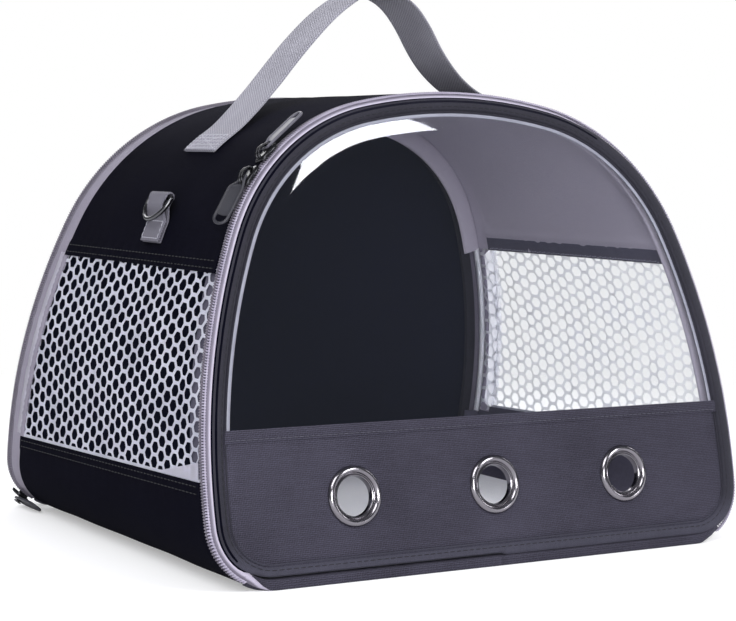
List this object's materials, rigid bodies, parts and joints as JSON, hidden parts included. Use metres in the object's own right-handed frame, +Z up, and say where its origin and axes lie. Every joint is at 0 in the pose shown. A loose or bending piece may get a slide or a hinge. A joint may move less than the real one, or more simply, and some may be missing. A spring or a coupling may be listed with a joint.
{
  "type": "bird travel carrier",
  "caption": "Soft-sided arched bird travel carrier with a clear zipped front door, zipped back door, mesh sides, eyelets, webbing handle and side D-rings.",
  "frame": {"origin": "middle of the flat base at floor level, halfway between the two doors", "axes": "+Z up, -Y towards the clear front door, +X to the right as seen from the front"},
  "size_m": [0.3028, 0.2548, 0.2747],
  "materials": {
    "outer_fabric": "matte woven polyester",
    "side_mesh": "knitted hexagonal mesh",
    "lining_fabric": "matte woven lining",
    "facing_fabric": "matte woven",
    "rim_rod": "extruded rod",
    "zip_tape": "woven tape",
    "zip_coil": "coiled monofilament",
    "binding": "folded edge binding",
    "panel_fabric": "heather woven polyester",
    "window_film": "clear flexible film",
    "eyelet_metal": "nickel plated",
    "webbing": "ribbed webbing",
    "ring_metal": "dark gunmetal",
    "slider_metal": "black",
    "pull_light": "light grey lacquer",
    "pull_dark": "dark grey lacquer",
    "board": "moulded board",
    "mat_fabric": "soft pile over foam"
  },
  "bodies": {
    "shell": {"roof_panel": "outer_fabric", "side_mesh_left": "side_mesh", "side_mesh_right": "side_mesh", "lower_side_left": "outer_fabric", "lower_side_right": "outer_fabric", "floor_panel": "outer_fabric", "roof_lining": "lining_fabric", "lower_lining_left": "lining_fabric", "lower_lining_right": "lining_fabric", "front_facing": "facing_fabric", "back_facing": "facing_fabric", "front_hoop": "rim_rod", "back_hoop": "rim_rod", "front_sleeve": "facing_fabric", "back_sleeve": "facing_fabric", "front_body_tape": "zip_tape", "back_body_tape": "zip_tape", "front_body_coil": "zip_coil", "back_body_coil": "zip_coil", "front_sill": "outer_fabric", "back_sill": "outer_fabric", "front_hinge_strip": "outer_fabric", "back_hinge_strip": "outer_fabric", "base_board": "board", "floor_mat": "mat_fabric", "handle_end_left": "webbing", "handle_end_right": "webbing", "ring_tab_left": "webbing", "ring_tab_right": "webbing"},
    "front_door": {"front_panel": "panel_fabric", "front_panel_hem": "panel_fabric", "window_film": "window_film", "front_binding": "binding", "front_door_tape": "zip_tape", "front_door_coil": "zip_coil", "eyelet_left": "eyelet_metal", "eyelet_middle": "eyelet_metal", "eyelet_right": "eyelet_metal", "eyelet_washers": "eyelet_metal"},
    "back_door": {"back_panel": "outer_fabric", "back_binding": "binding", "back_door_tape": "zip_tape", "back_door_coil": "zip_coil"},
    "front_slider_upper_body": {"front_slider_upper": "slider_metal"},
    "front_pull_upper_body": {"front_pull_upper": "pull_light"},
    "front_slider_lower_body": {"front_slider_lower": "slider_metal"},
    "front_pull_lower_body": {"front_pull_lower": "pull_dark"},
    "back_slider_body": {"back_slider": "slider_metal"},
    "back_pull_body": {"back_pull": "pull_dark"},
    "ring_left": {"d_ring_left": "ring_metal"},
    "ring_right": {"d_ring_right": "ring_metal"},
    "handle": {"handle_loop": "webbing"}
  },
  "joints": [
    {"name": "front_door_fold", "type": "hinge", "parent": "shell", "child": "front_door", "pos_m": [0, -0.12636, 0.00571], "axis": [1, 0, 0], "range_deg": [0, 100]},
    {"name": "back_door_fold", "type": "hinge", "parent": "shell", "child": "back_door", "pos_m": [0, 0.12636, 0.00571], "axis": [-1, 0, 0], "range_deg": [0, 100]},
    {"name": "front_zip_upper", "type": "hinge", "parent": "shell", "child": "front_slider_upper_body", "pos_m": [-0.03191, -0.10254, 0.11775], "axis": [0, 0.9799, -0.1994], "range_deg": [0, 28]},
    {"name": "front_pull_upper_lift", "type": "hinge", "parent": "front_slider_upper_body", "child": "front_pull_upper_body", "pos_m": [-0.10551, -0.0832, 0.19379], "axis": [0, -0.9799, 0.1994], "range_deg": [0, 110]},
    {"name": "front_zip_lower", "type": "hinge", "parent": "shell", "child": "front_slider_lower_body", "pos_m": [-0.03191, -0.10254, 0.11775], "axis": [0, -0.9799, 0.1994], "range_deg": [0, 13.5]},
    {"name": "front_pull_lower_lift", "type": "hinge", "parent": "front_slider_lower_body", "child": "front_pull_lower_body", "pos_m": [-0.11754, -0.08586, 0.18069], "axis": [0, 0.9799, -0.1994], "range_deg": [0, 110]},
    {"name": "back_zip", "type": "hinge", "parent": "shell", "child": "back_slider_body", "pos_m": [-0.12073, 0.12036, 0.03016], "axis": [0, 0.9799, 0.1994], "range_deg": [0, 37]},
    {"name": "back_pull_swivel", "type": "hinge", "parent": "back_slider_body", "child": "back_pull_body", "pos_m": [-0.14134, 0.12162, 0.0049], "axis": [-0.6437, 0, -0.7652], "range_deg": [0, 90]},
    {"name": "ring_left_swing", "type": "hinge", "parent": "shell", "child": "ring_left", "pos_m": [-0.12649, -0.0195, 0.16996], "axis": [0, 1, 0], "range_deg": [0, 150]},
    {"name": "ring_right_swing", "type": "hinge", "parent": "shell", "child": "ring_right", "pos_m": [0.12649, -0.0195, 0.16996], "axis": [0, -1, 0], "range_deg": [0, 150]},
    {"name": "handle_tilt", "type": "hinge", "parent": "shell", "child": "handle", "pos_m": [0, -0.0125, 0.222], "axis": [1, 0, 0], "range_deg": [-20, 20], "stiffness_Nm_per_rad": 0.05}
  ]
}
